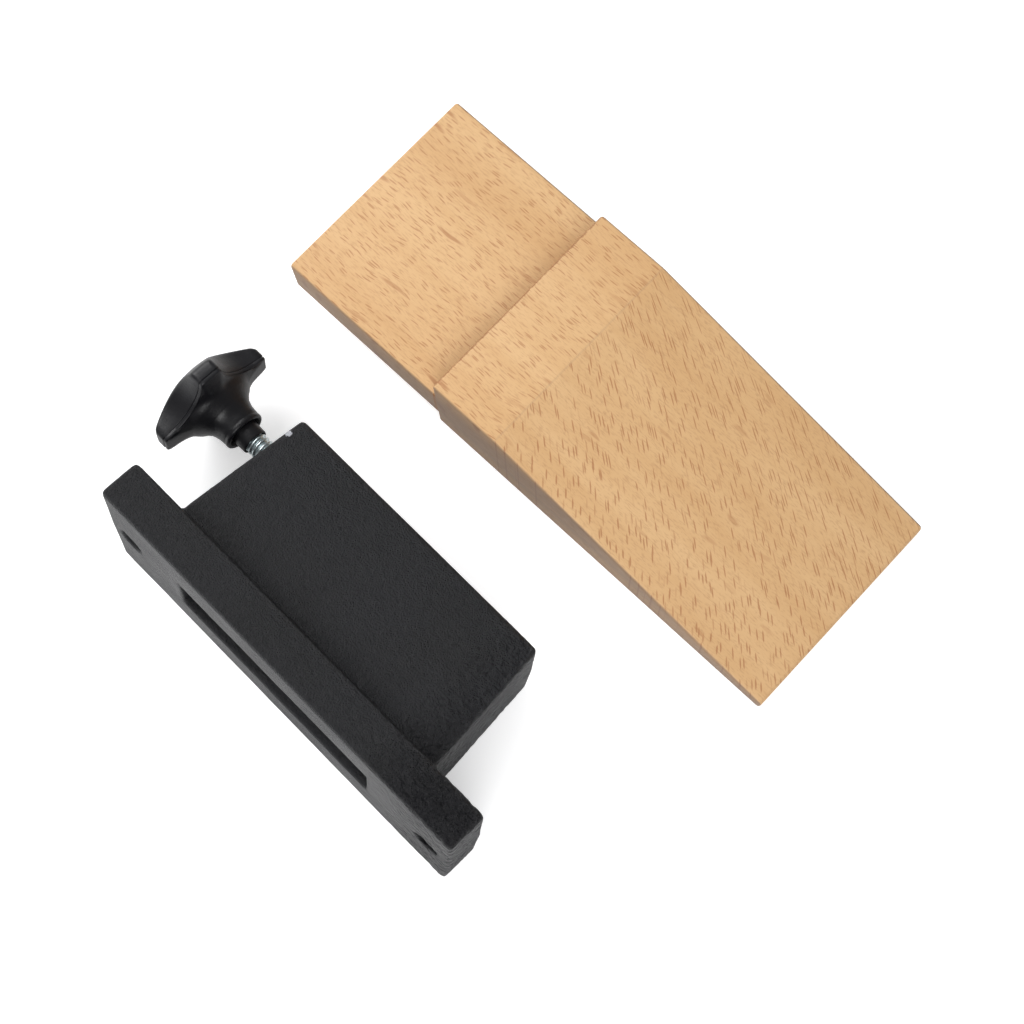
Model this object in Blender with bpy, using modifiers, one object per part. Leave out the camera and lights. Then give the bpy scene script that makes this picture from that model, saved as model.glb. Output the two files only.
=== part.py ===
"""A bench pin set: a cast-iron holder with a side clamp screw, and the loose beech pin that it grips.

The set lies on a table as it comes out of its box. The holder leans back on the lower edges of
its flange and block, and the pin lies flat beside it. Metres, +Z up, origin on the table under
the middle of the set.
"""

from math import atan2, cos, pi, radians, sin, sqrt, tan

import bmesh
import bpy
from mathutils import Matrix, Vector

# The flange, screwed to the edge of a bench.
FLANGE_THICKNESS = 0.0115
FLANGE_HEIGHT = 0.045
SCREW_HOLE_RADIUS = 0.0035
SCREW_HOLE_FROM_END = 0.0072
SCREW_HOLE_SIDES = 40

# The socket block behind it, a wall round the tongue's slot. The flange runs on past it as two wings.
SOCKET_WALL = 0.0110
LEFT_WING = 0.0146
RIGHT_WING = 0.0169
BLOCK_DEPTH = 0.038
BLOCK_NARROWING = 0.0030
FLANGE_PROUD = 0.0055
DRAFT = radians(1.2)
CASTING_EDGE = 0.0011
CASTING_EDGE_STEPS = 3

# The wooden pin, with a tongue between two shoulders, a flat land and a long slope.
TONGUE_WIDTH = 0.0635
TONGUE_THICKNESS = 0.0135
TONGUE_LENGTH = 0.0525
LAND_LENGTH = 0.0215
SLOPE_LENGTH = 0.0920
PIN_THICKNESS = 0.0280
TIP_THICKNESS = 0.0045
PIN_EDGE = 0.0009
PIN_EDGE_STEPS = 2
PIN_TURN = radians(1.7)
PIN_GAP = 0.0276
PIN_START = 0.07845

# The socket's room around the tongue.
SOCKET_SIDE_ROOM = 0.0030
SOCKET_HEIGHT_ROOM = 0.0025

# The clamp screw: a quarter-inch stud moulded into a plastic knob with four lobes.
STUD_RADIUS = 0.003175
STUD_SIDES = 48
THREAD_PITCH = 0.00127
STUD_RUNNING_GAP = 0.00008
STUD_IN_KNOB = 0.0090
STUD_TIP_BACK = 0.0005
STUD_TIP_CHAMFER = 0.0006
CUT_PAST = 0.003
STUD_FROM_FLANGE = 0.0290
TURNS_TO_STOP = 6
TOUCH_GAP = 0.0003

# The knob's head: four flat-ended lobes with round hollows between them, domed on its outer face.
KNOB_RADIUS = 0.0171
KNOB_HOLLOW_TO_AXIS = 0.0106
KNOB_HOLLOW_RADIUS = 0.0143
KNOB_CORNER = 0.0014
KNOB_SIDES = 80
RIM_FROM_NECK_END = 0.0146
RIM_THICKNESS = 0.0044
RIM_EDGE = 0.0007
HEAD_DOME = 0.0054
DOME_POWER = 2

# Its hub, which ends in a lip round the neck.
HUB_FOOT_RADIUS = 0.0097
HUB_FOOT_BACK = 0.0018
HUB_WAIST_RADIUS = 0.0059
HUB_CURVE = (1 / 2, 1 / 5)
FOOT_LOBE_SHARE = 1 / 3
HUB_WAIST_FROM_NECK_END = 0.0065
LIP_BACK = 0.0038
LIP_EDGE = 0.0005
LIP_WALL = 0.0011
LIP_DEPTH = 0.0020
NECK_WALL = 0.0006

# Corners turned more than this are rounded, and shaded as corners.
SHARP_CORNER = radians(35)
MERGE_WITHIN = 0.00001

BLACK_PAINT = (0.040, 0.040, 0.043, 1.0)
BLACK_PLASTIC = (0.022, 0.022, 0.024, 1.0)
BRIGHT_ZINC = (0.62, 0.66, 0.68, 1.0)
BEECH = (0.72, 0.47, 0.25, 1.0)
PAINT_ROUGHNESS = 0.5
PLASTIC_ROUGHNESS = 0.4
ZINC_ROUGHNESS = 0.3
BEECH_ROUGHNESS = 0.6

SLOT_WIDTH = TONGUE_WIDTH + SOCKET_SIDE_ROOM
SLOT_HEIGHT = TONGUE_THICKNESS + SOCKET_HEIGHT_ROOM
BLOCK_LEFT = LEFT_WING
BLOCK_RIGHT = BLOCK_LEFT + SLOT_WIDTH + 2 * SOCKET_WALL
FLANGE_LENGTH = BLOCK_RIGHT + RIGHT_WING
BLOCK_MIDDLE = (BLOCK_LEFT + BLOCK_RIGHT) / 2
SLOT_LEFT = BLOCK_MIDDLE - SLOT_WIDTH / 2
MID_HEIGHT = FLANGE_HEIGHT / 2
HOLDER_DEPTH = FLANGE_THICKNESS + BLOCK_DEPTH
LEAN = atan2(FLANGE_PROUD, BLOCK_DEPTH)


def clear_scene():
    for obj in list(bpy.data.objects):
        bpy.data.objects.remove(obj, do_unlink=True)


def new_collection(name, hidden=False):
    collection = bpy.data.collections.new(name)
    collection.hide_render = hidden
    bpy.context.scene.collection.children.link(collection)
    return collection


def new_material(name, colour, roughness, metallic=0.0):
    material = bpy.data.materials.new(name)
    material.use_nodes = True
    shader = material.node_tree.nodes["Principled BSDF"]
    shader.inputs["Base Color"].default_value = colour
    shader.inputs["Roughness"].default_value = roughness
    shader.inputs["Metallic"].default_value = metallic
    return material


def new_empty(name, collection, location, parent=None, turn=(0.0, 0.0, 0.0)):
    empty = bpy.data.objects.new(name, None)
    empty.location = location
    empty.rotation_euler = turn
    empty.parent = parent
    collection.objects.link(empty)
    return empty


def new_object(name, bm, collection, parent, location=(0.0, 0.0, 0.0), material=None):
    """Turns a closed bmesh into an object under its parent empty, with its faces pointing out."""
    bmesh.ops.recalc_face_normals(bm, faces=bm.faces)
    if bm.calc_volume(signed=True) < 0.0:
        bmesh.ops.reverse_faces(bm, faces=bm.faces)
    mesh = bpy.data.meshes.new(name)
    bm.to_mesh(mesh)
    bm.free()
    obj = bpy.data.objects.new(name, mesh)
    obj.location = location
    obj.parent = parent
    collection.objects.link(obj)
    if material:
        mesh.materials.append(material)
    return obj


def shade_round(obj, angle=SHARP_CORNER):
    obj.data.shade_smooth()
    obj.data.set_sharp_from_angle(angle=angle)


def box_mesh(low, high):
    """A box between two corners, as a bmesh."""
    bm = bmesh.new()
    bmesh.ops.create_cube(bm, size=1.0)
    size = Vector(high) - Vector(low)
    middle = (Vector(high) + Vector(low)) / 2
    place = Matrix.Translation(middle) @ Matrix.Diagonal((*size, 1.0))
    bmesh.ops.transform(bm, matrix=place, verts=bm.verts)
    return bm


def rod_mesh(radius, length, sides, axis):
    """A closed cylinder centred on the origin, lying along X or Y, with a flat side at its middle height."""
    bm = bmesh.new()
    bmesh.ops.create_cone(bm, cap_ends=True, segments=sides, radius1=radius, radius2=radius, depth=length)
    half_side = Matrix.Rotation(pi / sides, 4, "Z")
    turn = Matrix.Rotation(pi / 2, 4, "Y" if axis == "X" else "X")
    bmesh.ops.transform(bm, matrix=turn @ half_side, verts=bm.verts)
    return bm


def drafted_box(low, high):
    """A sand-cast slab: split at its middle height, and widest there by the draft of each end."""
    bm = box_mesh(low, high)
    middle = (low[2] + high[2]) / 2
    bmesh.ops.bisect_plane(
        bm, geom=bm.verts[:] + bm.edges[:] + bm.faces[:], plane_co=(0, 0, middle), plane_no=(0, 0, 1)
    )
    centre_x = (low[0] + high[0]) / 2
    spread = (high[2] - low[2]) / 2 * tan(DRAFT)
    for vert in bm.verts:
        if abs(vert.co.z - middle) < MERGE_WITHIN:
            vert.co.x += spread if vert.co.x > centre_x else -spread
    return bm


def add_boolean(obj, cutter, operation):
    modifier = obj.modifiers.new(f"{operation.lower()}_{cutter.name}", "BOOLEAN")
    modifier.operation = operation
    modifier.object = cutter
    cutter.display_type = "WIRE"
    cutter.hide_render = True


def add_bevel(obj, width, segments, angle):
    modifier = obj.modifiers.new("edges", "BEVEL")
    modifier.width = width
    modifier.segments = segments
    modifier.limit_method = "ANGLE"
    modifier.angle_limit = angle


def make_holder(parts, cutters, holder, material):
    """The casting: flange and block in one piece, with the socket, screw holes and clamp hole in it."""
    flange = drafted_box((0.0, 0.0, 0.0), (FLANGE_LENGTH, FLANGE_THICKNESS, FLANGE_HEIGHT))
    casting = new_object("holder_casting", flange, parts, holder, material=material)

    root = CASTING_EDGE * 2
    block = drafted_box(
        (BLOCK_LEFT, FLANGE_THICKNESS - root, FLANGE_PROUD),
        (BLOCK_RIGHT, HOLDER_DEPTH, FLANGE_HEIGHT - FLANGE_PROUD),
    )
    slope = BLOCK_NARROWING / BLOCK_DEPTH
    for vert in block.verts:
        inwards = slope * (vert.co.y - FLANGE_THICKNESS)
        vert.co.x += inwards if vert.co.x < BLOCK_MIDDLE else -inwards
    add_boolean(casting, new_object("block_shape", block, cutters, holder), "UNION")
    add_bevel(casting, CASTING_EDGE, CASTING_EDGE_STEPS, SHARP_CORNER)

    slot = box_mesh(
        (SLOT_LEFT, -CUT_PAST, MID_HEIGHT - SLOT_HEIGHT / 2),
        (SLOT_LEFT + SLOT_WIDTH, HOLDER_DEPTH + CUT_PAST, MID_HEIGHT + SLOT_HEIGHT / 2),
    )
    add_boolean(casting, new_object("socket_cutter", slot, cutters, holder), "DIFFERENCE")

    for side, x in (("left", SCREW_HOLE_FROM_END), ("right", FLANGE_LENGTH - SCREW_HOLE_FROM_END)):
        hole = rod_mesh(SCREW_HOLE_RADIUS, FLANGE_THICKNESS + 2 * CUT_PAST, SCREW_HOLE_SIDES, "Y")
        place = (x, FLANGE_THICKNESS / 2, MID_HEIGHT)
        cutter = new_object(f"screw_hole_{side}_cutter", hole, cutters, holder, place)
        add_boolean(casting, cutter, "DIFFERENCE")

    reach = SLOT_LEFT - BLOCK_LEFT + 2 * CUT_PAST
    clamp_hole = rod_mesh(STUD_RADIUS + STUD_RUNNING_GAP, reach, STUD_SIDES, "X")
    place = ((BLOCK_LEFT + SLOT_LEFT) / 2, stud_y(), MID_HEIGHT)
    add_boolean(casting, new_object("clamp_hole_cutter", clamp_hole, cutters, holder, place), "DIFFERENCE")
    return casting


def stud_y():
    return FLANGE_THICKNESS + STUD_FROM_FLANGE


def knob_end_x():
    """Where the knob's neck ends: the named turns short of the block's end face, with a gap left."""
    face = BLOCK_LEFT + BLOCK_NARROWING * STUD_FROM_FLANGE / BLOCK_DEPTH
    bulge = (FLANGE_HEIGHT - 2 * FLANGE_PROUD) / 2 * tan(DRAFT)
    return face - bulge - TOUCH_GAP - TURNS_TO_STOP * THREAD_PITCH


def make_stud(parts, axis, material):
    """The steel stud, from inside the knob to its chamfered tip just short of the socket."""
    tip = SLOT_LEFT - STUD_TIP_BACK - knob_end_x()
    bm = rod_mesh(STUD_RADIUS, tip + STUD_IN_KNOB, STUD_SIDES, "X")
    bmesh.ops.translate(bm, vec=((tip - STUD_IN_KNOB) / 2, 0, 0), verts=bm.verts)
    tip_edges = [edge for edge in bm.edges if all(abs(vert.co.x - tip) < MERGE_WITHIN for vert in edge.verts)]
    bmesh.ops.bevel(
        bm, geom=tip_edges, offset=STUD_TIP_CHAMFER, affect="EDGES", segments=1, profile=0.5, material=-1
    )
    stud = new_object("clamp_stud", bm, parts, axis, material=material)
    shade_round(stud)
    return stud


def lobe_radius(angle):
    """The head's outline: the nearest lobe's flat end or the hollow beside it, with the corner rounded."""
    off_lobe = abs((angle + pi / 4) % (pi / 2) - pi / 4)
    flat = KNOB_RADIUS / cos(off_lobe)
    centre = KNOB_HOLLOW_TO_AXIS + KNOB_HOLLOW_RADIUS
    off_hollow = pi / 4 - off_lobe
    room = KNOB_HOLLOW_RADIUS**2 - (centre * sin(off_hollow)) ** 2
    if room <= 0.0:
        return flat
    hollow = centre * cos(off_hollow) - sqrt(room)
    near = max(KNOB_CORNER - abs(flat - hollow), 0.0) / KNOB_CORNER
    return min(flat, hollow) - near * near * KNOB_CORNER / 4


def head_rings():
    """(distance from the neck's end, share of the outline, share of the dome) of each ring of the head."""
    face = -(RIM_FROM_NECK_END + RIM_THICKNESS)
    edge_share = 1 - RIM_EDGE / KNOB_RADIUS
    return (
        (face, edge_share / 4, 1.0),
        (face, edge_share / 2, 1.0),
        (face, edge_share * 3 / 4, 1.0),
        (face, edge_share, 1.0),
        (face + RIM_EDGE, 1.0, 1.0),
        (-RIM_FROM_NECK_END - RIM_EDGE, 1.0, 0.0),
        (-RIM_FROM_NECK_END, edge_share, 0.0),
    )


def hub_rings():
    """(distance from the neck's end, radius, share of the lobes) of each ring of the hub, lip and neck."""
    foot = -RIM_FROM_NECK_END + HUB_FOOT_BACK
    waist = -HUB_WAIST_FROM_NECK_END
    flare = HUB_FOOT_RADIUS - HUB_WAIST_RADIUS
    neck = STUD_RADIUS + NECK_WALL
    return (
        ((foot - RIM_FROM_NECK_END) / 2, HUB_FOOT_RADIUS, FOOT_LOBE_SHARE),
        (foot, HUB_FOOT_RADIUS, 0.0),
        (foot + (waist - foot) / 4, HUB_WAIST_RADIUS + flare * HUB_CURVE[0], 0.0),
        (foot + (waist - foot) / 2, HUB_WAIST_RADIUS + flare * HUB_CURVE[1], 0.0),
        (waist, HUB_WAIST_RADIUS, 0.0),
        (-LIP_BACK - LIP_EDGE, HUB_WAIST_RADIUS, 0.0),
        (-LIP_BACK, HUB_WAIST_RADIUS - LIP_EDGE, 0.0),
        (-LIP_BACK, HUB_WAIST_RADIUS - LIP_WALL, 0.0),
        (-LIP_BACK - LIP_DEPTH, HUB_WAIST_RADIUS - LIP_WALL, 0.0),
        (-LIP_BACK - LIP_DEPTH, neck, 0.0),
        (0.0, neck, 0.0),
    )


def make_knob(parts, cutters, axis, material):
    """The moulded knob: four lobes, a waisted hub with a rounded lip, and a short neck inside it."""
    bm = bmesh.new()
    angles = [2 * pi * step / KNOB_SIDES for step in range(KNOB_SIDES)]
    rings = []
    for along, share, dome in head_rings():
        ring = []
        for angle in angles:
            radius = share * lobe_radius(angle)
            rise = dome * HEAD_DOME * (1 - (radius / KNOB_RADIUS) ** DOME_POWER)
            ring.append(bm.verts.new((along - rise, radius * cos(angle), radius * sin(angle))))
        rings.append(ring)
    for along, hub, share in hub_rings():
        ring = []
        for angle in angles:
            radius = hub + share * (lobe_radius(angle) - hub)
            ring.append(bm.verts.new((along, radius * cos(angle), radius * sin(angle))))
        rings.append(ring)
    for near, far in zip(rings, rings[1:]):
        for step in range(KNOB_SIDES):
            after = (step + 1) % KNOB_SIDES
            bm.faces.new((near[step], near[after], far[after], far[step]))
    bm.faces.new(rings[0])
    bm.faces.new(rings[-1])
    knob = new_object("clamp_knob", bm, parts, axis, material=material)
    shade_round(knob)

    room = STUD_RADIUS + STUD_RUNNING_GAP
    deep = STUD_IN_KNOB + TOUCH_GAP
    pocket = rod_mesh(room, 2 * deep, STUD_SIDES, "X")
    cutter = new_object("stud_pocket_cutter", pocket, cutters, axis)
    add_boolean(knob, cutter, "DIFFERENCE")
    return knob


def pin_outline():
    """The pin seen from its side, tongue first: both shoulders, the land, the slope and the tip."""
    shoulder = (PIN_THICKNESS - TONGUE_THICKNESS) / 2
    land_end = TONGUE_LENGTH + LAND_LENGTH
    tip = land_end + SLOPE_LENGTH
    return (
        (0.0, shoulder),
        (TONGUE_LENGTH, shoulder),
        (TONGUE_LENGTH, 0.0),
        (tip, 0.0),
        (tip, TIP_THICKNESS),
        (land_end, PIN_THICKNESS),
        (TONGUE_LENGTH, PIN_THICKNESS),
        (TONGUE_LENGTH, shoulder + TONGUE_THICKNESS),
        (0.0, shoulder + TONGUE_THICKNESS),
    )


def make_pin(parts, pin_place, material):
    """The wooden pin, sawn from one board: its outline extruded over the width of the tongue."""
    curve = bpy.data.curves.new("bench_pin", "CURVE")
    curve.dimensions = "2D"
    curve.fill_mode = "BOTH"
    curve.extrude = TONGUE_WIDTH / 2
    corners = pin_outline()
    spline = curve.splines.new("POLY")
    spline.points.add(len(corners) - 1)
    for point, (along, up) in zip(spline.points, corners):
        point.co = (along, up, 0.0, 1.0)
    spline.use_cyclic_u = True
    curve.materials.append(material)
    pin = bpy.data.objects.new("bench_pin", curve)
    pin.rotation_euler = (pi / 2, 0.0, 0.0)
    pin.location = (0.0, TONGUE_WIDTH / 2, 0.0)
    pin.parent = pin_place
    parts.objects.link(pin)
    weld = pin.modifiers.new("caps", "WELD")
    weld.merge_threshold = MERGE_WITHIN
    add_bevel(pin, PIN_EDGE, PIN_EDGE_STEPS, SHARP_CORNER)
    return pin


def centre_set(table, parts):
    """Moves the set so that the middle of its plan is over the origin."""
    bpy.context.view_layer.update()
    graph = bpy.context.evaluated_depsgraph_get()
    corners = []
    for obj in parts.objects:
        if obj.type == "EMPTY":
            continue
        solid = obj.evaluated_get(graph)
        mesh = solid.to_mesh()
        corners += [solid.matrix_world @ vert.co for vert in mesh.vertices]
        solid.to_mesh_clear()
    for axis in (0, 1):
        values = [corner[axis] for corner in corners]
        table.location[axis] -= (min(values) + max(values)) / 2


def main():
    clear_scene()
    parts = new_collection("bench_pin_set")
    cutters = new_collection("cutters", hidden=True)
    paint = new_material("black_paint", BLACK_PAINT, PAINT_ROUGHNESS)
    plastic = new_material("black_plastic", BLACK_PLASTIC, PLASTIC_ROUGHNESS)
    zinc = new_material("bright_zinc", BRIGHT_ZINC, ZINC_ROUGHNESS, metallic=1.0)
    beech = new_material("beech", BEECH, BEECH_ROUGHNESS)

    table = new_empty("table", parts, (0.0, 0.0, 0.0))
    # The holder turns about the flange's lower back edge until the block's far edge is down too.
    back_edge = new_empty("holder_lean", parts, (0.0, FLANGE_THICKNESS, 0.0), table, (-LEAN, 0.0, 0.0))
    holder = new_empty("holder", parts, (0.0, -FLANGE_THICKNESS, 0.0), back_edge)
    make_holder(parts, cutters, holder, paint)

    clamp_axis = new_empty("clamp_axis", parts, (knob_end_x(), stud_y(), MID_HEIGHT), holder)
    make_stud(parts, clamp_axis, zinc)
    make_knob(parts, cutters, clamp_axis, plastic)

    # The pin lies past the block's upper far edge, which the lean carries out over the table.
    block_top = FLANGE_HEIGHT - FLANGE_PROUD
    block_far = FLANGE_THICKNESS + BLOCK_DEPTH * cos(LEAN) + block_top * sin(LEAN)
    corner = (BLOCK_MIDDLE - PIN_START, block_far + PIN_GAP, 0.0)
    pin_place = new_empty("pin_place", parts, corner, table, (0.0, 0.0, PIN_TURN))
    make_pin(parts, pin_place, beech)
    centre_set(table, parts)


main()
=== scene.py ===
"""A bench pin set: a black cast-iron holder with its clamp screw, and the loose beech pin beside it."""

from math import atan2, cos, pi, radians, sin, sqrt

import bmesh
import bpy
from mathutils import Matrix, Vector, noise


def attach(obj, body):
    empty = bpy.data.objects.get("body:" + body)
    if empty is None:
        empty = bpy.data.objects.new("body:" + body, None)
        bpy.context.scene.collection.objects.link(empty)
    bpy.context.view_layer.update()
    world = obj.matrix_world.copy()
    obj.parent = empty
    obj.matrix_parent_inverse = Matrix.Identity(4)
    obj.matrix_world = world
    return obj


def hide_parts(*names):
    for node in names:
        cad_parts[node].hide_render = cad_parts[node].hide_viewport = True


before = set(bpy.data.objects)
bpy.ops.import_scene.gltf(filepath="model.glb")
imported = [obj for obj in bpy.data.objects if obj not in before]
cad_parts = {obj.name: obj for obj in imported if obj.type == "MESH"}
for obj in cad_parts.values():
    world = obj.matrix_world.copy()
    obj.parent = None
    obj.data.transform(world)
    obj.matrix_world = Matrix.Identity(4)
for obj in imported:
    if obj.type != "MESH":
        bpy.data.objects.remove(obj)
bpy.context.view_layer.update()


# ---------------------------------------------------------------------------
# The table and the light.
# A white table between two wide soft boxes, the stronger on the left, and the
# camera high over the set, tipped a little towards its front.
# ---------------------------------------------------------------------------

CAMERA_PLACE = (0.090642, -0.066283, 0.455222)
CAMERA_TURN = (radians(13.819), radians(1.584), radians(45.014))
CAMERA_LENS = 62.52
SENSOR_WIDTH = 36.0
NEAREST_SEEN = 0.01

BOX_SIDE = 0.90
LEFT_BOX_PLACE = (-0.95, 0.05, 0.85)
LEFT_BOX_WATTS = 14.0
RIGHT_BOX_PLACE = (0.75, -0.75, 1.00)
RIGHT_BOX_WATTS = 13.0
ROOM_LIGHT = 0.50
ROOM_LIGHT_IN_GLOSS = 0.24
ROOM_COLOUR = (0.97, 0.98, 1.0, 1.0)
WHITE = (1.0, 1.0, 1.0, 1.0)

TABLE_REACH = 3.0
TABLE_DROP = 0.0002
TABLE_DARK = (0.83, 0.83, 0.83, 1.0)
TABLE_LIGHT = (0.86, 0.86, 0.86, 1.0)
TABLE_ROUGHNESS = 0.9
GLOW_NEAR = 0.46
GLOW_FAR = 0.70
GLOW_GROWS_FROM = 0.25
GLOW_GROWS_TO = 0.90

camera = bpy.data.objects.new("camera", bpy.data.cameras.new("camera"))
camera.data.lens = CAMERA_LENS
camera.data.sensor_width = SENSOR_WIDTH
camera.data.clip_start = NEAREST_SEEN
camera.location = CAMERA_PLACE
camera.rotation_euler = CAMERA_TURN
bpy.context.scene.collection.objects.link(camera)
bpy.context.scene.camera = camera
bpy.context.scene.view_settings.view_transform = "Standard"


def soft_box(name, place, watts):
    """A square area light at a place, turned to face the middle of the set."""
    lamp = bpy.data.lights.new(name, "AREA")
    lamp.shape = "SQUARE"
    lamp.size = BOX_SIDE
    lamp.energy = watts
    box = bpy.data.objects.new(name, lamp)
    box.location = place
    box.rotation_euler = (-Vector(place)).to_track_quat("-Z", "Y").to_euler()
    bpy.context.scene.collection.objects.link(box)


soft_box("left_box", LEFT_BOX_PLACE, LEFT_BOX_WATTS)
soft_box("right_box", RIGHT_BOX_PLACE, RIGHT_BOX_WATTS)


def node(tree, kind, **settings):
    """Adds a shader node and sets its properties, and its sockets where a key is a socket's name."""
    made = tree.nodes.new(f"ShaderNode{kind}")
    for key, value in settings.items():
        name = key.replace("_", " ").title()
        if hasattr(made, key):
            setattr(made, key, value)
        else:
            made.inputs[name].default_value = value
    return made


def join(tree, source, target):
    """Links an output to an input."""
    tree.links.new(source, target)


def new_material(name):
    """A material with its Principled shader and an Object coordinate output."""
    material = bpy.data.materials.new(name)
    material.use_nodes = True
    tree = material.node_tree
    place = tree.nodes.new("ShaderNodeTexCoord").outputs["Object"]
    return material, tree, tree.nodes["Principled BSDF"], place


def maths(tree, operation, first, second):
    """A Math node of two inputs, each a socket or a number; it returns its output."""
    made = node(tree, "Math", operation=operation)
    for socket, value in zip(made.inputs, (first, second)):
        if isinstance(value, (int, float)):
            socket.default_value = value
        else:
            join(tree, value, socket)
    return made.outputs[0]


def blended(tree, share, first, second):
    """A colour Mix node; each colour is a socket or a tuple."""
    made = node(tree, "Mix", data_type="RGBA")
    if isinstance(share, (int, float)):
        made.inputs[0].default_value = share
    else:
        join(tree, share, made.inputs[0])
    for socket, value in ((made.inputs[6], first), (made.inputs[7], second)):
        if isinstance(value, tuple):
            socket.default_value = value
        else:
            join(tree, value, socket)
    return made.outputs[2]


def stretched(tree, value, low, high, to_low, to_high):
    """A clamped Map Range."""
    made = node(tree, "MapRange")
    made.inputs["From Min"].default_value = low
    made.inputs["From Max"].default_value = high
    made.inputs["To Min"].default_value = to_low
    made.inputs["To Max"].default_value = to_high
    join(tree, value, made.inputs["Value"])
    return made.outputs["Result"]


def noise_of(tree, place, scale, detail, roughness=0.5):
    """A Noise node's strength at a place."""
    made = node(tree, "TexNoise", scale=scale, detail=detail, roughness=roughness)
    join(tree, place, made.inputs["Vector"])
    return made.outputs["Fac"]


# An even room light, dimmer in what the black pieces reflect, and white behind the set.
world = bpy.data.worlds.new("studio")
world.use_nodes = True
world_tree = world.node_tree
path = node(world_tree, "LightPath")
around = world_tree.nodes["Background"]
around.inputs["Color"].default_value = ROOM_COLOUR
dimmed = stretched(
    world_tree, path.outputs["Is Glossy Ray"], 0.0, 1.0, ROOM_LIGHT, ROOM_LIGHT_IN_GLOSS
)
join(world_tree, dimmed, around.inputs["Strength"])
seen = node(world_tree, "Background", strength=1.0)
seen.inputs["Color"].default_value = WHITE
choose = node(world_tree, "MixShader")
join(world_tree, path.outputs["Is Camera Ray"], choose.inputs[0])
join(world_tree, around.outputs[0], choose.inputs[1])
join(world_tree, seen.outputs[0], choose.inputs[2])
join(world_tree, choose.outputs[0], world_tree.nodes["World Output"].inputs["Surface"])
bpy.context.scene.world = world


# The table glows a little, and more so further out, so that it stays white behind the set.
table_material, table_tree, table_shader, table_place = new_material("white_table")
table_tint = noise_of(table_tree, table_place, 3.0, 2.0)
join(
    table_tree,
    blended(table_tree, table_tint, TABLE_DARK, TABLE_LIGHT),
    table_shader.inputs["Base Color"],
)
table_shader.inputs["Roughness"].default_value = TABLE_ROUGHNESS
table_shader.inputs["Emission Color"].default_value = WHITE
table_seen = node(table_tree, "LightPath")
table_far = node(table_tree, "VectorMath", operation="LENGTH")
join(table_tree, table_place, table_far.inputs[0])
table_glow = stretched(
    table_tree, table_far.outputs["Value"], GLOW_GROWS_FROM, GLOW_GROWS_TO, GLOW_NEAR, GLOW_FAR
)
join(
    table_tree,
    maths(table_tree, "MULTIPLY", table_seen.outputs["Is Camera Ray"], table_glow),
    table_shader.inputs["Emission Strength"],
)
table_bm = bmesh.new()
bmesh.ops.create_grid(table_bm, x_segments=2, y_segments=2, size=TABLE_REACH)
bmesh.ops.translate(table_bm, vec=(0.0, 0.0, -TABLE_DROP), verts=table_bm.verts)
table_mesh = bpy.data.meshes.new("table_top")
table_bm.to_mesh(table_mesh)
table_bm.free()
table_mesh.materials.append(table_material)
table_top = bpy.data.objects.new("table_top", table_mesh)
bpy.context.scene.collection.objects.link(table_top)


# ---------------------------------------------------------------------------
# The holder casting.
# One sand casting in iron, flange and socket block together, dipped in black
# paint. The sand leaves a pebbled skin under the paint, with a few pits.
# ---------------------------------------------------------------------------

FLANGE_THICKNESS = 0.0115
FLANGE_HEIGHT = 0.045
FLANGE_PROUD = 0.0055
BLOCK_DEPTH = 0.038
LEAN = atan2(FLANGE_PROUD, BLOCK_DEPTH)
SKIN_GRID = 0.00064
SKIN_HEIGHT = 0.00005
SKIN_GRAIN = 0.0012
ROUGH_HEIGHT = 0.00036
ROUGH_GRAIN = 0.0021
WAVE_HEIGHT = 0.00010
WAVE_LENGTH = 0.011
PIT_PLACES = ((0.0254, 0.0310), (0.0420, 0.0390))
PIT_RADIUS = 0.0007
PIT_DEPTH = 0.00045
FACING_UP = 0.7
MERGE_WITHIN = 0.000002
FLANGE_COARSE_FROM = 0.092
FLANGE_COARSE_OVER = 0.022
BLOCK_COARSE_FROM = 0.080
BLOCK_COARSE_OVER = 0.030
ROOT_LENGTH = 0.060
ROOT_MIDDLE = 0.0015
ROOT_REACH = 0.004
CHIP_PLACE = (0.0179, 0.0442, FLANGE_HEIGHT - FLANGE_PROUD)
PAINT_DARK = (0.0026, 0.0026, 0.0038, 1.0)
PAINT_LIGHT = (0.0052, 0.0052, 0.0072, 1.0)
PIT_COLOUR = (0.004, 0.004, 0.004, 1.0)
IRON_COLOUR = (0.55, 0.56, 0.60, 1.0)

holder_corner = Vector((-0.062422, -0.075388, 0.001647))
holder_frame = Matrix.Translation(holder_corner) @ Matrix.Rotation(-LEAN, 4, "X")


def keep_piece(name, bm, material, body, stands_for, sharp):
    """Makes the finished object from a bmesh, rides it on its body, and hides the CAD part that it stands
    for.
    """
    mesh = bpy.data.meshes.new(name)
    bm.to_mesh(mesh)
    bm.free()
    mesh.shade_smooth()
    mesh.set_sharp_from_angle(angle=sharp)
    mesh.materials.append(material)
    piece = bpy.data.objects.new(name, mesh)
    bpy.context.scene.collection.objects.link(piece)
    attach(piece, body)
    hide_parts(stands_for)


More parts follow.
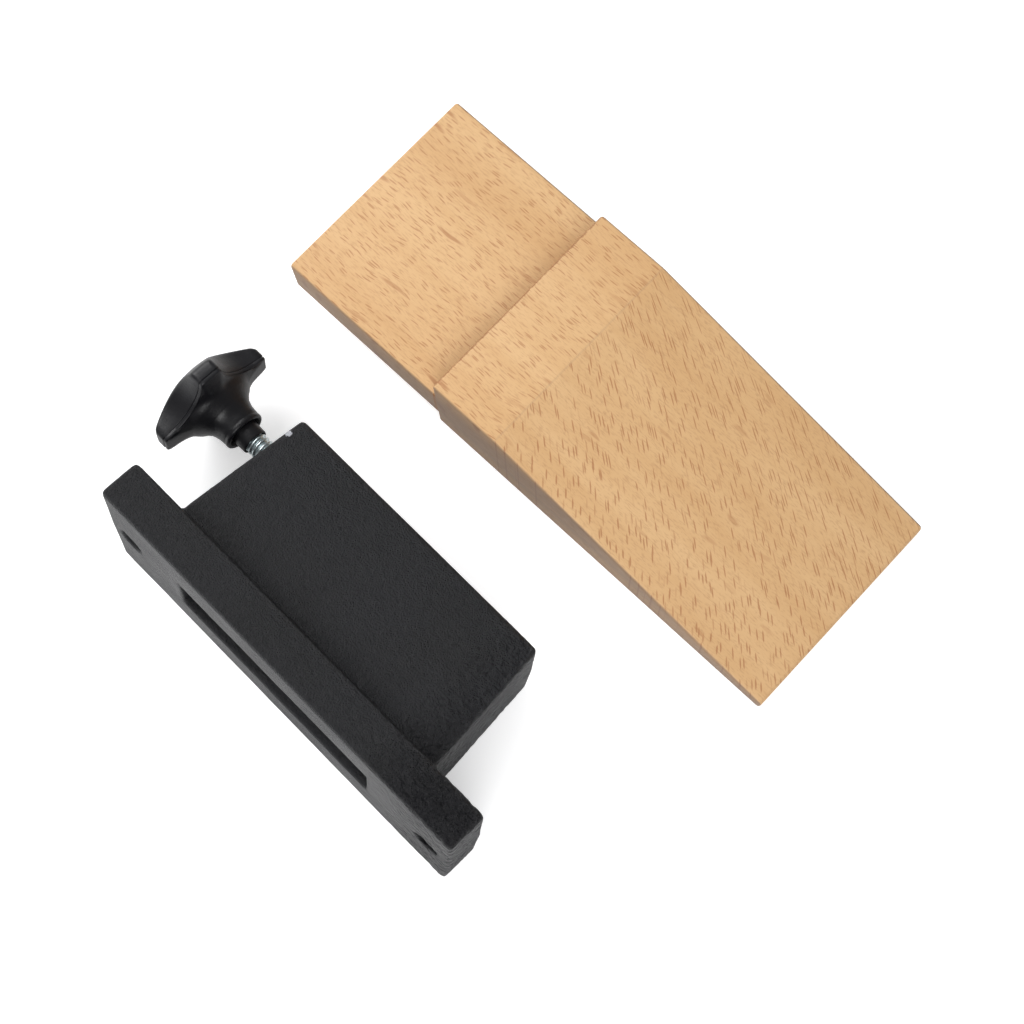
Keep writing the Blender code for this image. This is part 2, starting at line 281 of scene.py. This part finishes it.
def skin_group():
    """The skin that a mould leaves: a fine peel on a longer wave, and slow blotches of tone."""
    group = bpy.data.node_groups.new("moulded_skin", "ShaderNodeTree")
    group.interface.new_socket("Vector", in_out="INPUT", socket_type="NodeSocketVector")
    group.interface.new_socket("Peel Scale", in_out="INPUT", socket_type="NodeSocketFloat")
    group.interface.new_socket("Wave Scale", in_out="INPUT", socket_type="NodeSocketFloat")
    group.interface.new_socket("Wave Share", in_out="INPUT", socket_type="NodeSocketFloat")
    group.interface.new_socket("Height", in_out="OUTPUT", socket_type="NodeSocketFloat")
    group.interface.new_socket("Blotch", in_out="OUTPUT", socket_type="NodeSocketFloat")
    start = group.nodes.new("NodeGroupInput")
    end = group.nodes.new("NodeGroupOutput")
    peel = node(group, "TexNoise", detail=3.0, roughness=0.55)
    wave = node(group, "TexNoise", detail=2.0, roughness=0.5)
    join(group, start.outputs["Vector"], peel.inputs["Vector"])
    join(group, start.outputs["Vector"], wave.inputs["Vector"])
    join(group, start.outputs["Peel Scale"], peel.inputs["Scale"])
    join(group, start.outputs["Wave Scale"], wave.inputs["Scale"])
    high = maths(group, "MULTIPLY", wave.outputs["Fac"], start.outputs["Wave Share"])
    join(group, maths(group, "ADD", peel.outputs["Fac"], high), end.inputs["Height"])
    blotch = noise_of(group, start.outputs["Vector"], 45.0, 3.0)
    join(group, stretched(group, blotch, 0.35, 0.65, 0.0, 1.0), end.inputs["Blotch"])
    return group


def skin_node(tree, place, peel, wave, share):
    """The moulded skin at this piece's own scale."""
    made = tree.nodes.new("ShaderNodeGroup")
    made.node_tree = moulded_skin
    join(tree, place, made.inputs["Vector"])
    made.inputs["Peel Scale"].default_value = peel
    made.inputs["Wave Scale"].default_value = wave
    made.inputs["Wave Share"].default_value = share
    return made


def bump_on(tree, shader, height, strength, distance):
    """Raises a height on a material's surface."""
    made = node(tree, "Bump", strength=strength, distance=distance)
    join(tree, height, made.inputs["Height"])
    join(tree, made.outputs["Normal"], shader.inputs["Normal"])


moulded_skin = skin_group()

paint, paint_tree, paint_shader, paint_place = new_material("black_paint")
paint_skin = skin_node(paint_tree, paint_place, 2300.0, 700.0, 0.8)
paint_colour = blended(paint_tree, paint_skin.outputs["Blotch"], PAINT_DARK, PAINT_LIGHT)

# Pits where sand broke away from the mould's wall.
pit_cells = node(paint_tree, "TexVoronoi", scale=95.0)
join(paint_tree, paint_place, pit_cells.inputs["Vector"])
pit_pick = node(paint_tree, "SeparateColor")
join(paint_tree, pit_cells.outputs["Color"], pit_pick.inputs[0])
pit_here = stretched(paint_tree, pit_pick.outputs[0], 0.62, 0.64, 0.0, 1.0)
pit_dot = stretched(paint_tree, pit_cells.outputs["Distance"], 0.035, 0.075, 1.0, 0.0)
pits = maths(paint_tree, "MULTIPLY", pit_here, pit_dot)
paint_colour = blended(paint_tree, pits, paint_colour, PIT_COLOUR)

# A small chip on the block's top left edge, down to bright iron.
chip_far = node(paint_tree, "VectorMath", operation="DISTANCE")
join(paint_tree, paint_place, chip_far.inputs[0])
chip_far.inputs[1].default_value = holder_frame @ Vector(CHIP_PLACE)
chip_ragged = maths(
    paint_tree, "MULTIPLY", noise_of(paint_tree, paint_place, 2200.0, 2.0), 0.0009
)
chip_reach = maths(paint_tree, "ADD", chip_far.outputs["Value"], chip_ragged)
chip = stretched(paint_tree, chip_reach, 0.00125, 0.00145, 1.0, 0.0)
paint_colour = blended(paint_tree, chip, paint_colour, IRON_COLOUR)
join(paint_tree, paint_colour, paint_shader.inputs["Base Color"])
join(paint_tree, chip, paint_shader.inputs["Metallic"])

paint_gloss = stretched(paint_tree, paint_skin.outputs["Blotch"], 0.0, 1.0, 0.36, 0.46)
paint_shader.inputs["Specular IOR Level"].default_value = 0.40
join(paint_tree, paint_gloss, paint_shader.inputs["Roughness"])
paint_height = maths(paint_tree, "SUBTRACT", paint_skin.outputs["Height"], pits)

# Coarser sand at the flange's right end.
casting_space = node(paint_tree, "Mapping", vector_type="TEXTURE")
casting_space.inputs["Location"].default_value = holder_corner
casting_space.inputs["Rotation"].default_value = (-LEAN, 0.0, 0.0)
join(paint_tree, paint_place, casting_space.inputs["Vector"])
casting_parts = node(paint_tree, "SeparateXYZ")
join(paint_tree, casting_space.outputs[0], casting_parts.inputs[0])
coarse_share = stretched(paint_tree, casting_parts.outputs[0], 0.086, 0.108, 0.0, 7.0)
coarse = maths(paint_tree, "MULTIPLY", noise_of(paint_tree, paint_place, 620.0, 3.0, 0.6), coarse_share)
paint_height = maths(paint_tree, "ADD", paint_height, coarse)
bump_on(paint_tree, paint_shader, paint_height, 0.85, 0.0007)


def rough_share(place):
    """How coarse the sand was: most at the flange's right end, some at the block's end and root."""
    past_flange = place.y - FLANGE_THICKNESS
    flange_end = (place.x - FLANGE_COARSE_FROM) / FLANGE_COARSE_OVER
    block_end = 0.0
    root = 0.0
    if past_flange > 0.0:
        block_end = (place.x - BLOCK_COARSE_FROM) / BLOCK_COARSE_OVER
    if place.x < ROOT_LENGTH:
        root = 0.5 - abs(past_flange - ROOT_MIDDLE) / ROOT_REACH
    return max(0.0, min(1.0, max(flange_end, block_end, root)))


def cast_skin():
    """The casting with its skin: an even fine grid over its plain shape, pushed in and out a little."""
    bm = bmesh.new()
    bm.from_mesh(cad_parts["holder_casting"].data)
    bmesh.ops.remove_doubles(bm, verts=bm.verts, dist=MERGE_WITHIN)
    bmesh.ops.transform(bm, matrix=holder_frame.inverted(), verts=bm.verts)
    mesh = bpy.data.meshes.new("skin_source")
    bm.to_mesh(mesh)
    bm.free()
    source = bpy.data.objects.new("skin_source", mesh)
    bpy.context.scene.collection.objects.link(source)
    remesh = source.modifiers.new("grid", "REMESH")
    remesh.mode = "VOXEL"
    remesh.voxel_size = SKIN_GRID
    smooth = source.modifiers.new("even", "SMOOTH")
    smooth.factor = 0.5
    smooth.iterations = 1
    bpy.context.view_layer.update()
    solid = source.evaluated_get(bpy.context.evaluated_depsgraph_get())
    bm = bmesh.new()
    bm.from_mesh(solid.to_mesh())
    solid.to_mesh_clear()
    bpy.data.objects.remove(source)
    bm.normal_update()
    moves = []
    for vert in bm.verts:
        place = vert.co
        pebble = noise.noise(place / SKIN_GRAIN)
        wave = noise.noise(place / WAVE_LENGTH)
        lump = abs(noise.noise(place / ROUGH_GRAIN)) * rough_share(place)
        push = pebble * SKIN_HEIGHT + wave * WAVE_HEIGHT - lump * ROUGH_HEIGHT * 2
        for along, across in PIT_PLACES:
            far = Vector((place.x - along, place.y - across)).length
            if far < PIT_RADIUS and vert.normal.z > FACING_UP:
                push -= 2 * PIT_DEPTH * (1 - far / PIT_RADIUS)
        moves.append(vert.normal * push / 2)
    for vert, move in zip(bm.verts, moves):
        vert.co += move
    bmesh.ops.transform(bm, matrix=holder_frame, verts=bm.verts)
    return bm


keep_piece(
    "holder_cast_skin", cast_skin(), paint, "holder", "holder_casting", radians(180)
)


# ---------------------------------------------------------------------------
# The clamp stud.
# A quarter-inch steel stud with a rolled thread, bright zinc plated, moulded
# into the knob at one end and chamfered at the other.
# ---------------------------------------------------------------------------

STUD_RADIUS = 0.003175
THREAD_PITCH = 0.00127
THREAD_DEPTH = 0.00058
CREST_BACK = 0.00001
CREST_ROUND = 0.00006
FLANK_SHARE = 0.26
LAND_SHARE = 0.18
THREAD_STEPS = 40
THREAD_MERGE_WITHIN = 0.000004
STUD_CHAMFER = 0.0006
STUD_IN_KNOB = 0.0090
CLAMP_AXIS = Vector((-0.053808, -0.032082, 0.018114))
STUD_TIP_X = -0.037322
ZINC_DARK = (0.60, 0.70, 0.72, 1.0)
ZINC_LIGHT = (0.78, 0.85, 0.86, 1.0)


def threaded_stud():
    """The stud along X, its thread swept as a helix, with both ends cut square and closed."""
    turns = round((STUD_TIP_X - CLAMP_AXIS.x + STUD_IN_KNOB) / THREAD_PITCH) + 3
    crest = STUD_RADIUS - CREST_BACK
    root = STUD_RADIUS - THREAD_DEPTH
    flank = THREAD_PITCH * FLANK_SHARE
    land = THREAD_PITCH * LAND_SHARE
    outline = (
        (0.0, root),
        (THREAD_PITCH - 2 * flank - 2 * land, root),
        (THREAD_PITCH - flank - 2 * land, crest - CREST_ROUND),
        (THREAD_PITCH - flank - 1.5 * land, crest),
        (THREAD_PITCH - flank - 0.5 * land, crest),
        (THREAD_PITCH - flank, crest - CREST_ROUND),
        (THREAD_PITCH, root),
    )
    bm = bmesh.new()
    chain = [bm.verts.new((along, 0.0, radius)) for along, radius in outline]
    edges = [bm.edges.new(pair) for pair in zip(chain, chain[1:])]
    bmesh.ops.spin(
        bm,
        geom=chain + edges,
        cent=(0, 0, 0),
        axis=(1, 0, 0),
        dvec=(THREAD_PITCH / THREAD_STEPS, 0, 0),
        angle=2 * pi * turns,
        steps=THREAD_STEPS * turns,
        use_duplicate=False,
    )
    bmesh.ops.remove_doubles(bm, verts=bm.verts, dist=THREAD_MERGE_WITHIN)
    length = STUD_TIP_X - CLAMP_AXIS.x
    bmesh.ops.translate(bm, vec=(-STUD_IN_KNOB - 2 * THREAD_PITCH, 0, 0), verts=bm.verts)
    for cut, side in ((-STUD_IN_KNOB, -1), (length, 1)):
        bmesh.ops.bisect_plane(
            bm,
            geom=bm.verts[:] + bm.edges[:] + bm.faces[:],
            plane_co=(cut, 0, 0),
            plane_no=(side, 0, 0),
            clear_outer=True,
        )
    open_edges = [edge for edge in bm.edges if edge.is_boundary]
    bmesh.ops.holes_fill(bm, edges=open_edges, sides=0)
    for vert in bm.verts:
        round_out = Vector((0.0, vert.co.y, vert.co.z)).length
        most = STUD_RADIUS - STUD_CHAMFER + max(0.0, length - vert.co.x)
        if round_out > most:
            vert.co.y *= most / round_out
            vert.co.z *= most / round_out
    bmesh.ops.recalc_face_normals(bm, faces=bm.faces)
    bmesh.ops.translate(bm, vec=CLAMP_AXIS, verts=bm.verts)
    return bm


zinc, zinc_tree, zinc_shader, zinc_place = new_material("bright_zinc")
zinc_shader.inputs["Metallic"].default_value = 1.0
zinc_cloud = noise_of(zinc_tree, zinc_place, 700.0, 3.0)
zinc_colour = blended(zinc_tree, zinc_cloud, ZINC_DARK, ZINC_LIGHT)
join(zinc_tree, zinc_colour, zinc_shader.inputs["Base Color"])
join(
    zinc_tree, stretched(zinc_tree, zinc_cloud, 0.3, 0.7, 0.22, 0.38), zinc_shader.inputs["Roughness"]
)
bump_on(zinc_tree, zinc_shader, noise_of(zinc_tree, zinc_place, 2600.0, 2.0), 0.15, 0.00002)

keep_piece("clamp_thread", threaded_stud(), zinc, "clamp_screw", "clamp_stud", radians(50))


# ---------------------------------------------------------------------------
# The clamp knob.
# A black plastic moulding: a domed head with four lobes, and a waisted hub
# that ends in a lip round the short neck over the stud.
# ---------------------------------------------------------------------------

KNOB_RADIUS = 0.0171
HOLLOW_TO_AXIS = 0.0106
HOLLOW_RADIUS = 0.0143
LOBE_CORNER = 0.0014
KNOB_SIDES = 160
HEAD_DOME = 0.0054
DOME_POWER = 2
RIM_NEAR = -0.0146
RIM_FAR = -0.0190
FACE_DISC_RADIUS = 0.0012
PLASTIC_DARK = (0.0042, 0.0040, 0.0054, 1.0)
PLASTIC_LIGHT = (0.0078, 0.0076, 0.0098, 1.0)


def lobe_radius(angle):
    """The head's outline: the nearest lobe's flat end or the hollow beside it, with the corner rounded."""
    off_lobe = abs((angle + pi / 4) % (pi / 2) - pi / 4)
    flat = KNOB_RADIUS / cos(off_lobe)
    centre = HOLLOW_TO_AXIS + HOLLOW_RADIUS
    off_hollow = pi / 4 - off_lobe
    room = HOLLOW_RADIUS**2 - (centre * sin(off_hollow)) ** 2
    if room <= 0.0:
        return flat
    hollow = centre * cos(off_hollow) - sqrt(room)
    near = max(LOBE_CORNER - abs(flat - hollow), 0.0) / LOBE_CORNER
    return min(flat, hollow) - near * near * LOBE_CORNER / 4


# (distance from the neck's end, inset from the outline, share of the dome), from the face to the
# rim's near edge, where a fine groove runs round.
head_rings = (
    (RIM_FAR, 0.0150, 1.0),
    (RIM_FAR, 0.0120, 1.0),
    (RIM_FAR, 0.0090, 1.0),
    (RIM_FAR, 0.0060, 1.0),
    (RIM_FAR, 0.0035, 1.0),
    (RIM_FAR, 0.0018, 1.0),
    (RIM_FAR, 0.0009, 1.0),
    (RIM_FAR + 0.00010, 0.00050, 1.0),
    (RIM_FAR + 0.00035, 0.00018, 1.0),
    (RIM_FAR + 0.00070, 0.00003, 1.0),
    (RIM_FAR + 0.00100, 0.0, 0.9),
    (RIM_FAR + 0.00200, 0.0, 0.4),
    (RIM_NEAR - 0.00135, 0.0, 0.0),
    (RIM_NEAR - 0.00125, 0.00004, 0.0),
    (RIM_NEAR - 0.00115, 0.00034, 0.0),
    (RIM_NEAR - 0.00095, 0.00034, 0.0),
    (RIM_NEAR - 0.00085, 0.00008, 0.0),
    (RIM_NEAR - 0.00035, 0.00010, 0.0),
    (RIM_NEAR - 0.00012, 0.00022, 0.0),
    (RIM_NEAR - 0.00002, 0.00045, 0.0),
    (RIM_NEAR, 0.00080, 0.0),
)

# (distance from the neck's end, radius, share of the lobes), from under the lobes, over the lip and
# the neck, down to the hole for the stud.
hub_rings = (
    (-0.01440, 0.0110, 0.75),
    (-0.01415, 0.0104, 0.50),
    (-0.01380, 0.0101, 0.25),
    (-0.01330, 0.0099, 0.08),
    (-0.01280, 0.00965, 0.0),
    (-0.01220, 0.00910, 0.0),
    (-0.01120, 0.00785, 0.0),
    (-0.01020, 0.00705, 0.0),
    (-0.01005, 0.00692, 0.0),
    (-0.00990, 0.00676, 0.0),
    (-0.00880, 0.00632, 0.0),
    (-0.00770, 0.00602, 0.0),
    (-0.00650, 0.00588, 0.0),
    (-0.00540, 0.00583, 0.0),
    (-0.00520, 0.00576, 0.0),
    (-0.00500, 0.00585, 0.0),
    (-0.00440, 0.00588, 0.0),
    (-0.00405, 0.00576, 0.0),
    (-0.00385, 0.00552, 0.0),
    (-0.00380, 0.00520, 0.0),
    (-0.00385, 0.00496, 0.0),
    (-0.00405, 0.00482, 0.0),
    (-0.00575, 0.00470, 0.0),
    (-0.00582, 0.00462, 0.0),
    (-0.00582, 0.00402, 0.0),
    (-0.00575, 0.00392, 0.0),
    (-0.00300, 0.00380, 0.0),
    (-0.00040, 0.00372, 0.0),
    (-0.00010, 0.00364, 0.0),
    (0.0, 0.00352, 0.0),
    (0.0, 0.00336, 0.0),
    (-0.00025, 0.00328, 0.0),
    (-0.0060, 0.00326, 0.0),
)


def head_place(angle, along, inset, dome):
    """Where a point of a head ring lies: its distance along the axis, and its radius."""
    radius = lobe_radius(angle) * (1 - inset / KNOB_RADIUS)
    return along - dome * HEAD_DOME * (1 - (radius / KNOB_RADIUS) ** DOME_POWER), radius


def hub_place(angle, along, hub, share):
    """Where a point of a hub ring lies: its distance along the axis, and its radius."""
    return along, hub + share * (lobe_radius(angle) - hub)


def grown_ring(bm, edges, place_at, ring):
    """Extrudes a ring of edges and sets each new vertex to its place on the next ring."""
    grown = bmesh.ops.extrude_edge_only(bm, edges=edges)
    verts = [item for item in grown["geom"] if isinstance(item, bmesh.types.BMVert)]
    for vert in verts:
        angle = atan2(vert.co.z, vert.co.y)
        along, radius = place_at(angle, *ring)
        vert.co = (along, radius * cos(angle), radius * sin(angle))
    here = set(verts)
    return [edge for edge in bm.edges if here.issuperset(edge.verts)]


def shaped_knob():
    """Starts as a small disc in the middle of the face, and grows to the hole for the stud."""
    bm = bmesh.new()
    upright = Matrix.Rotation(pi / 2, 4, "Y")
    centre = Matrix.Translation((RIM_FAR - HEAD_DOME, 0.0, 0.0))
    bmesh.ops.create_circle(
        bm, cap_ends=True, segments=KNOB_SIDES, radius=FACE_DISC_RADIUS, matrix=centre @ upright
    )
    edges = bm.edges[:]
    for ring in head_rings:
        edges = grown_ring(bm, edges, head_place, ring)
    for ring in hub_rings:
        edges = grown_ring(bm, edges, hub_place, ring)
    bmesh.ops.holes_fill(bm, edges=edges, sides=0)
    bmesh.ops.recalc_face_normals(bm, faces=bm.faces)
    if bm.calc_volume(signed=True) < 0.0:
        bmesh.ops.reverse_faces(bm, faces=bm.faces)
    bmesh.ops.rotate(bm, cent=(0, 0, 0), matrix=Matrix.Rotation(-LEAN, 3, "X"), verts=bm.verts)
    bmesh.ops.translate(bm, vec=CLAMP_AXIS, verts=bm.verts)
    return bm


plastic, plastic_tree, plastic_shader, plastic_place = new_material("black_plastic")
plastic_skin = skin_node(plastic_tree, plastic_place, 2400.0, 420.0, 0.9)
plastic_colour = blended(plastic_tree, plastic_skin.outputs["Blotch"], PLASTIC_DARK, PLASTIC_LIGHT)
join(plastic_tree, plastic_colour, plastic_shader.inputs["Base Color"])
join(
    plastic_tree,
    stretched(plastic_tree, plastic_skin.outputs["Blotch"], 0.0, 1.0, 0.36, 0.48),
    plastic_shader.inputs["Roughness"],
)
plastic_shader.inputs["Specular IOR Level"].default_value = 0.45
bump_on(plastic_tree, plastic_shader, plastic_skin.outputs["Height"], 0.35, 0.00014)

keep_piece(
    "clamp_knob_moulding",
    shaped_knob(),
    plastic,
    "clamp_grip",
    "clamp_knob",
    radians(50),
)


# ---------------------------------------------------------------------------
# The bench pin.
# Sawn and sanded from one flat-grained beech board, with the step of its
# tongue and the land on top, and a long slope down to the tip.
# ---------------------------------------------------------------------------

TONGUE_WIDTH = 0.0635
TONGUE_THICKNESS = 0.0135
TONGUE_LENGTH = 0.0525
LAND_LENGTH = 0.0215
SLOPE_LENGTH = 0.0920
PIN_THICKNESS = 0.0280
TIP_THICKNESS = 0.0045
PIN_TURN = radians(1.7)
PIN_CORNER = Vector((-0.082022, 0.006860, 0.0))
PIN_EDGE = 0.0009
LEAST_EDGE_ANGLE = radians(5)
SIDE_SHADE_DEPTH = 0.0006
SLANT_NEAR = 0.90
SLANT_GROWTH = 9.0
BEECH_DARK = (0.555, 0.332, 0.152, 1.0)
BEECH_LIGHT = (0.612, 0.388, 0.192, 1.0)
PORE_COLOUR = (0.40, 0.22, 0.10, 1.0)
FLECK_COLOUR = (0.30, 0.105, 0.035, 1.0)
# The colour of the painted shade on the board's sides.
SHADED_SIDE_COLOUR = (0.190, 0.130, 0.100, 1.0)
# The colour of the dark line painted along the step.
STEP_LINE_COLOUR = (0.27, 0.115, 0.04, 1.0)
CREST_COLOUR = (0.25, 0.17, 0.12, 1.0)


def sawn_pin():
    """The pin's side outline, extruded over its width, with every edge sanded round."""
    shoulder = (PIN_THICKNESS - TONGUE_THICKNESS) / 2
    land_end = TONGUE_LENGTH + LAND_LENGTH
    tip = land_end + SLOPE_LENGTH
    outline = (
        (0.0, shoulder),
        (TONGUE_LENGTH, shoulder),
        (TONGUE_LENGTH, 0.0),
        (tip, 0.0),
        (tip, TIP_THICKNESS),
        (land_end, PIN_THICKNESS),
        (TONGUE_LENGTH, PIN_THICKNESS),
        (TONGUE_LENGTH, shoulder + TONGUE_THICKNESS),
        (0.0, shoulder + TONGUE_THICKNESS),
    )
    bm = bmesh.new()
    corners = [bm.verts.new((along, 0.0, up)) for along, up in outline]
    side = bm.faces.new(corners)
    grown = bmesh.ops.extrude_face_region(bm, geom=[side])
    moved = [item for item in grown["geom"] if isinstance(item, bmesh.types.BMVert)]
    bmesh.ops.translate(bm, vec=(0.0, TONGUE_WIDTH, 0.0), verts=moved)
    bmesh.ops.recalc_face_normals(bm, faces=bm.faces)
    bm.normal_update()
    outer = []
    for edge in bm.edges:
        if edge.is_convex and edge.calc_face_angle() > LEAST_EDGE_ANGLE:
            outer.append(edge)
    bmesh.ops.bevel(
        bm,
        geom=outer,
        offset=PIN_EDGE,
        affect="EDGES",
        segments=4,
        profile=0.5,
        material=-1,
        clamp_overlap=True,
    )
    turn = Matrix.Translation(PIN_CORNER) @ Matrix.Rotation(PIN_TURN, 4, "Z")
    bmesh.ops.transform(bm, matrix=turn, verts=bm.verts)
    return bm


def fleck_group():
    """Beech's rays cut across: thin brown lenses along X, some dark and most faint."""
    group = bpy.data.node_groups.new("ray_flecks", "ShaderNodeTree")
    group.interface.new_socket("Vector", in_out="INPUT", socket_type="NodeSocketVector")
    group.interface.new_socket("Density", in_out="INPUT", socket_type="NodeSocketVector")
    group.interface.new_socket("Rarity", in_out="INPUT", socket_type="NodeSocketFloat")
    group.interface.new_socket("Width", in_out="INPUT", socket_type="NodeSocketFloat")
    group.interface.new_socket("Flecks", in_out="OUTPUT", socket_type="NodeSocketFloat")
    start = group.nodes.new("NodeGroupInput")
    end = group.nodes.new("NodeGroupOutput")
    drift = node(group, "TexNoise", scale=70.0, detail=1.0)
    join(group, start.outputs["Vector"], drift.inputs["Vector"])
    centred = node(group, "VectorMath", operation="SUBTRACT")
    join(group, drift.outputs["Color"], centred.inputs[0])
    centred.inputs[1].default_value = (0.5, 0.5, 0.5)
    small = node(group, "VectorMath", operation="SCALE")
    join(group, centred.outputs[0], small.inputs[0])
    small.inputs["Scale"].default_value = 0.0035
    bent = node(group, "VectorMath", operation="ADD")
    join(group, start.outputs["Vector"], bent.inputs[0])
    join(group, small.outputs[0], bent.inputs[1])
    packed = node(group, "VectorMath", operation="MULTIPLY")
    join(group, bent.outputs[0], packed.inputs[0])
    join(group, start.outputs["Density"], packed.inputs[1])
    cells = node(group, "TexVoronoi", voronoi_dimensions="2D", scale=1.0)
    join(group, packed.outputs[0], cells.inputs["Vector"])
    chosen = node(group, "SeparateColor")
    join(group, cells.outputs["Color"], chosen.inputs[0])
    strength = maths(group, "SUBTRACT", chosen.outputs[0], start.outputs["Rarity"])
    strength = stretched(group, strength, 0.0, 0.45, 0.0, 1.0)
    edge = maths(group, "SUBTRACT", start.outputs["Width"], cells.outputs["Distance"])
    lens = stretched(group, edge, 0.0, 0.09, 0.0, 1.0)
    join(group, maths(group, "MULTIPLY", lens, strength), end.inputs["Flecks"])
    return group


ray_flecks = fleck_group()


def fleck_node(tree, place, length, breadth, rarity, width):
    """Flecks in cells of a length and a breadth; the rarer they are, the fewer cells hold one."""
    made = tree.nodes.new("ShaderNodeGroup")
    made.node_tree = ray_flecks
    join(tree, place, made.inputs["Vector"])
    made.inputs["Density"].default_value = (1 / length, 1 / breadth, 1.0)
    made.inputs["Rarity"].default_value = rarity
    made.inputs["Width"].default_value = width
    return made.outputs["Flecks"]


beech, beech_tree, beech_shader, beech_place = new_material("beech")
pin_space = node(beech_tree, "Mapping", vector_type="TEXTURE")
pin_space.inputs["Location"].default_value = PIN_CORNER
pin_space.inputs["Rotation"].default_value = (0.0, 0.0, PIN_TURN)
join(beech_tree, beech_place, pin_space.inputs["Vector"])
board = pin_space.outputs[0]
board_parts = node(beech_tree, "SeparateXYZ")
join(beech_tree, board, board_parts.inputs[0])
along_board = board_parts.outputs[0]
across_board = board_parts.outputs[1]

# Slow bands of tone along the board, as its growth rings come up to the face.
band_space = node(beech_tree, "Mapping")
band_space.inputs["Scale"].default_value = (5.0, 110.0, 60.0)
join(beech_tree, board, band_space.inputs["Vector"])
bands = noise_of(beech_tree, band_space.outputs[0], 1.0, 4.0, 0.55)
band_tone = stretched(beech_tree, bands, 0.35, 0.65, 0.0, 1.0)
beech_colour = blended(beech_tree, band_tone, BEECH_DARK, BEECH_LIGHT)

# Pores: very fine short lines.
pore_space = node(beech_tree, "Mapping")
pore_space.inputs["Scale"].default_value = (420.0, 2600.0, 1500.0)
join(beech_tree, board, pore_space.inputs["Vector"])
pores = noise_of(beech_tree, pore_space.outputs[0], 1.0, 2.0, 0.6)
pore_mask = stretched(beech_tree, pores, 0.50, 0.70, 0.0, 0.50)
beech_colour = blended(beech_tree, pore_mask, beech_colour, PORE_COLOUR)

# Ray flecks run along the tongue and the land. The slope cuts through the rings, so there they slant
# across the board, most steeply at its near edge.
land_end_at = TONGUE_LENGTH + LAND_LENGTH
slant = maths(beech_tree, "ADD", maths(beech_tree, "MULTIPLY", across_board, SLANT_GROWTH), SLANT_NEAR)
slanted = node(beech_tree, "CombineXYZ")
join(beech_tree, across_board, slanted.inputs[0])
join(
    beech_tree,
    maths(beech_tree, "ADD", along_board, maths(beech_tree, "MULTIPLY", across_board, slant)),
    slanted.inputs[1],
)
flat_fine = fleck_node(beech_tree, board, 0.0062, 0.00080, 0.12, 0.25)
flat_bold = fleck_node(beech_tree, board, 0.0260, 0.0034, 0.68, 0.20)
slope_fine = fleck_node(beech_tree, slanted.outputs[0], 0.0047, 0.00140, 0.08, 0.25)
slope_bold = fleck_node(beech_tree, board, 0.0130, 0.0036, 0.78, 0.19)
flat_flecks = maths(beech_tree, "MAXIMUM", maths(beech_tree, "MULTIPLY", flat_fine, 0.62), flat_bold)
slope_flecks = maths(beech_tree, "MAXIMUM", maths(beech_tree, "MULTIPLY", slope_fine, 0.74), slope_bold)
on_slope = stretched(beech_tree, along_board, land_end_at - 0.0003, land_end_at + 0.0003, 0.0, 1.0)
fleck_choice = node(beech_tree, "Mix")
join(beech_tree, on_slope, fleck_choice.inputs[0])
join(beech_tree, flat_flecks, fleck_choice.inputs[2])
join(beech_tree, slope_flecks, fleck_choice.inputs[3])
flecks = fleck_choice.outputs[0]
fleck_mask = maths(beech_tree, "MULTIPLY", flecks, 0.80)
beech_colour = blended(beech_tree, fleck_mask, beech_colour, FLECK_COLOUR)

# The sides are painted darker and greyer than the sanded top, as painted shade; a thin ragged dark line is
# painted along the step.
near_side = stretched(beech_tree, across_board, SIDE_SHADE_DEPTH / 2, SIDE_SHADE_DEPTH, 1.0, 0.0)
to_far_side = maths(beech_tree, "SUBTRACT", TONGUE_WIDTH, across_board)
far_side = stretched(beech_tree, to_far_side, SIDE_SHADE_DEPTH / 2, SIDE_SHADE_DEPTH, 1.0, 0.0)
side_shade_tone = stretched(beech_tree, bands, 0.40, 0.62, 0.58, 0.86)
sides = maths(beech_tree, "MULTIPLY", maths(beech_tree, "ADD", near_side, far_side), side_shade_tone)
beech_colour = blended(beech_tree, sides, beech_colour, SHADED_SIDE_COLOUR)
# A thin ragged dark line is painted across the board at the step, over both step faces and the edges
# beside them.
ragged = maths(beech_tree, "MULTIPLY", noise_of(beech_tree, board, 900.0, 3.0), 0.0014)
past_step = maths(beech_tree, "SUBTRACT", along_board, TONGUE_LENGTH)
step_line = stretched(beech_tree, maths(beech_tree, "SUBTRACT", ragged, past_step), 0.0, 0.0004, 0.0, 0.75)
before_step = stretched(beech_tree, past_step, -0.0005, -0.0003, 0.0, 1.0)
step_line_mask = maths(beech_tree, "MULTIPLY", step_line, before_step)
beech_colour = blended(beech_tree, step_line_mask, beech_colour, STEP_LINE_COLOUR)

# A faint dark line is painted where the slope starts.
from_crest = maths(beech_tree, "ABSOLUTE", maths(beech_tree, "SUBTRACT", along_board, land_end_at), 0.0)
crest_line = stretched(beech_tree, from_crest, 0.0001, 0.0004, 0.16, 0.0)
beech_colour = blended(beech_tree, crest_line, beech_colour, CREST_COLOUR)
join(beech_tree, beech_colour, beech_shader.inputs["Base Color"])

beech_shader.inputs["Specular IOR Level"].default_value = 0.35
join(beech_tree, stretched(beech_tree, pores, 0.3, 0.7, 0.50, 0.64), beech_shader.inputs["Roughness"])
beech_height = maths(beech_tree, "SUBTRACT", maths(beech_tree, "MULTIPLY", pores, 0.6), flecks)
bump_on(beech_tree, beech_shader, beech_height, 0.25, 0.00006)

keep_piece("bench_pin_wood", sawn_pin(), beech, "pin", "bench_pin", radians(40))
